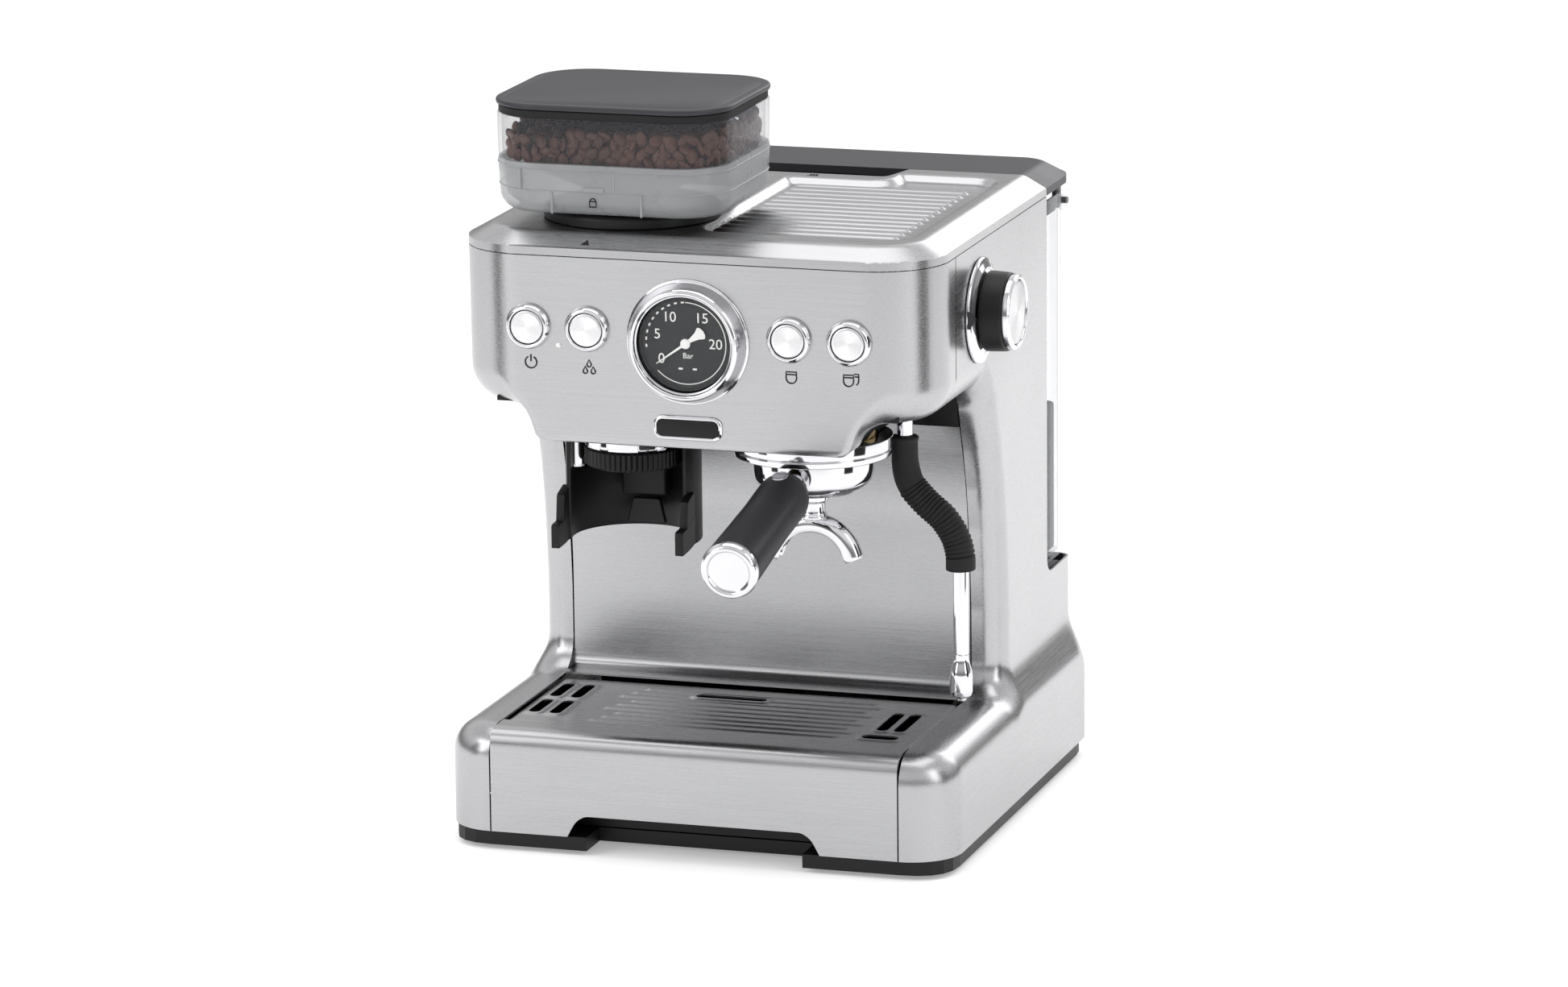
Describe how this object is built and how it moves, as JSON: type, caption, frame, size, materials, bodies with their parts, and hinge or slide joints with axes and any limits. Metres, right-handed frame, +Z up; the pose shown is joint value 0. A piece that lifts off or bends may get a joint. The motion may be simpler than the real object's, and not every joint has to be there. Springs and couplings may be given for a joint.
{
  "type": "espresso machine",
  "caption": "Countertop espresso machine with bean grinder and hopper, pressure gauge, portafilter, steam wand, drip tray and rear water tank.",
  "frame": {"origin": "bottom centre of the machine's bounding box, on the surface it stands on, with the portafilter handle and the steam knob counted", "axes": "+X towards the side with the steam knob, +Y from the controls to the water tank, +Z up"},
  "size_m": [0.3228, 0.4236, 0.442],
  "materials": {
    "brushed_steel": "fine horizontal brushing, satin",
    "button_steel": "spun concentric brushing",
    "chrome": "polished",
    "black_plastic": "fine-grained moulded",
    "grey_plastic": "satin dark grey moulded",
    "handle_plastic": "soft-touch satin",
    "rubber": "matte",
    "clear_plastic": "clear moulded",
    "frosted_plastic": "frosted translucent",
    "glass": "clear flat glass",
    "beans": "oily roasted coffee beans",
    "brass": "turned, dull",
    "galvanised": "plain zinc and stamped steel",
    "cast_aluminium": "as cast",
    "dial_black": "satin printed dial",
    "lamp_white": "satin white",
    "hose_white": "translucent hose white",
    "circuit_board": "lacquered board"
  },
  "bodies": {
    "housing": {"base_pan": "black_plastic", "side_panel_right": "brushed_steel", "side_panel_left": "brushed_steel", "backsplash": "brushed_steel", "head_floor": "black_plastic", "rear_frame": "grey_plastic", "cord_gland": "rubber", "front_panel": "brushed_steel", "top_cover": "brushed_steel", "hopper_collar": "black_plastic", "upper_burr": "galvanised", "burr_housing": "black_plastic", "grinder_motor": "galvanised", "outlet_ring": "chrome", "portafilter_cradle": "black_plastic", "group_collar": "chrome", "group_head": "brass", "shower_screen": "galvanised", "knob_ring": "chrome", "steam_valve": "brass", "button_bezels_left": "chrome", "button_bezels_right": "chrome", "status_lamp": "lamp_white", "gauge_bezel": "chrome", "gauge_dial": "dial_black", "gauge_glass": "glass", "badge_plate": "black_plastic", "thermoblock": "cast_aluminium", "pump": "galvanised", "solenoid_valve": "brass", "control_board": "circuit_board", "feed_hose": "hose_white"},
    "power_button": {"power_button": "button_steel"},
    "purge_button": {"purge_button": "button_steel"},
    "single_button": {"single_button": "button_steel"},
    "double_button": {"double_button": "button_steel"},
    "gauge_needle": {"gauge_needle": "lamp_white"},
    "steam_knob": {"steam_knob": "black_plastic", "steam_knob_cap": "chrome"},
    "steam_wand": {"steam_pipe": "chrome", "wand_grip": "rubber", "wand_tube": "chrome"},
    "portafilter": {"portafilter_bowl": "chrome", "filter_basket": "galvanised", "twin_spout": "chrome", "portafilter_handle": "handle_plastic", "handle_end_cap": "chrome"},
    "drip_tray": {"drip_tray": "black_plastic", "drip_tray_front": "brushed_steel"},
    "drip_cover": {"drip_cover": "brushed_steel"},
    "water_tank": {"water_tank": "clear_plastic", "tank_valve": "black_plastic"},
    "tank_lid": {"tank_lid": "grey_plastic"},
    "hopper": {"hopper_base": "frosted_plastic", "hopper_body": "clear_plastic", "bean_bed": "beans"},
    "hopper_lid": {"hopper_lid": "grey_plastic"},
    "grinder_burr": {"lower_burr": "galvanised"},
    "grind_paddle": {"grind_switch_paddle": "black_plastic"},
    "outlet_lock_ring": {"outlet_lock_ring": "black_plastic"}
  },
  "joints": [
    {"name": "power_button_press", "type": "slide", "parent": "housing", "child": "power_button", "axis": [0, 0.9996, 0.028], "range_m": [0, 0.002], "stiffness_N_per_m": 300},
    {"name": "purge_button_press", "type": "slide", "parent": "housing", "child": "purge_button", "axis": [0, 0.9996, 0.028], "range_m": [0, 0.002], "stiffness_N_per_m": 300},
    {"name": "single_button_press", "type": "slide", "parent": "housing", "child": "single_button", "axis": [0, 0.9996, 0.028], "range_m": [0, 0.002], "stiffness_N_per_m": 300},
    {"name": "double_button_press", "type": "slide", "parent": "housing", "child": "double_button", "axis": [0, 0.9996, 0.028], "range_m": [0, 0.002], "stiffness_N_per_m": 300},
    {"name": "needle_turn", "type": "hinge", "parent": "housing", "child": "gauge_needle", "pos_m": [-0.00645, -0.10807, 0.3103], "axis": [0, 0.9996, 0.028], "range_deg": [0, 215], "stiffness_Nm_per_rad": 0.001},
    {"name": "steam_knob_turn", "type": "hinge", "parent": "housing", "child": "steam_knob", "pos_m": [0.14355, -0.00506, 0.316], "axis": [1, 0, 0], "range_deg": [0, 270]},
    {"name": "wand_swivel", "type": "hinge", "parent": "housing", "child": "steam_wand", "pos_m": [0.09505, -0.01506, 0.262], "axis": [0, 0, 1], "range_deg": [-60, 50]},
    {"name": "portafilter_turn", "type": "hinge", "parent": "housing", "child": "portafilter", "pos_m": [0.04855, -0.04606, 0.238], "axis": [0, 0, 1], "range_deg": [-45, 0]},
    {"name": "drip_tray_slide", "type": "slide", "parent": "housing", "child": "drip_tray", "axis": [0, -1, 0], "range_m": [0, 0.15]},
    {"name": "drip_cover_lift", "type": "slide", "parent": "drip_tray", "child": "drip_cover", "axis": [0, 0, 1], "range_m": [0, 0.03]},
    {"name": "tank_lift", "type": "slide", "parent": "housing", "child": "water_tank", "axis": [0, 0, 1], "range_m": [0, 0.15]},
    {"name": "tank_lid_hinge", "type": "hinge", "parent": "water_tank", "child": "tank_lid", "pos_m": [-0.00645, 0.19694, 0.344], "axis": [-1, 0, 0], "range_deg": [0, 95]},
    {"name": "hopper_turn", "type": "hinge", "parent": "housing", "child": "hopper", "pos_m": [-0.06245, -0.03706, 0.37], "axis": [0, 0, 1], "range_deg": [0, 45]},
    {"name": "hopper_lid_lift", "type": "slide", "parent": "hopper", "child": "hopper_lid", "axis": [0, 0, 1], "range_m": [0, 0.05]},
    {"name": "burr_spin", "type": "hinge", "parent": "housing", "child": "grinder_burr", "pos_m": [-0.06245, -0.03706, 0.345], "axis": [0, 0, 1], "continuous": true},
    {"name": "grind_paddle_push", "type": "slide", "parent": "housing", "child": "grind_paddle", "axis": [0, 1, 0], "range_m": [0, 0.003], "stiffness_N_per_m": 200},
    {"name": "lock_ring_turn", "type": "hinge", "parent": "housing", "child": "outlet_lock_ring", "pos_m": [-0.06145, -0.04606, 0.23], "axis": [0, 0, 1], "range_deg": [-30, 0]}
  ]
}
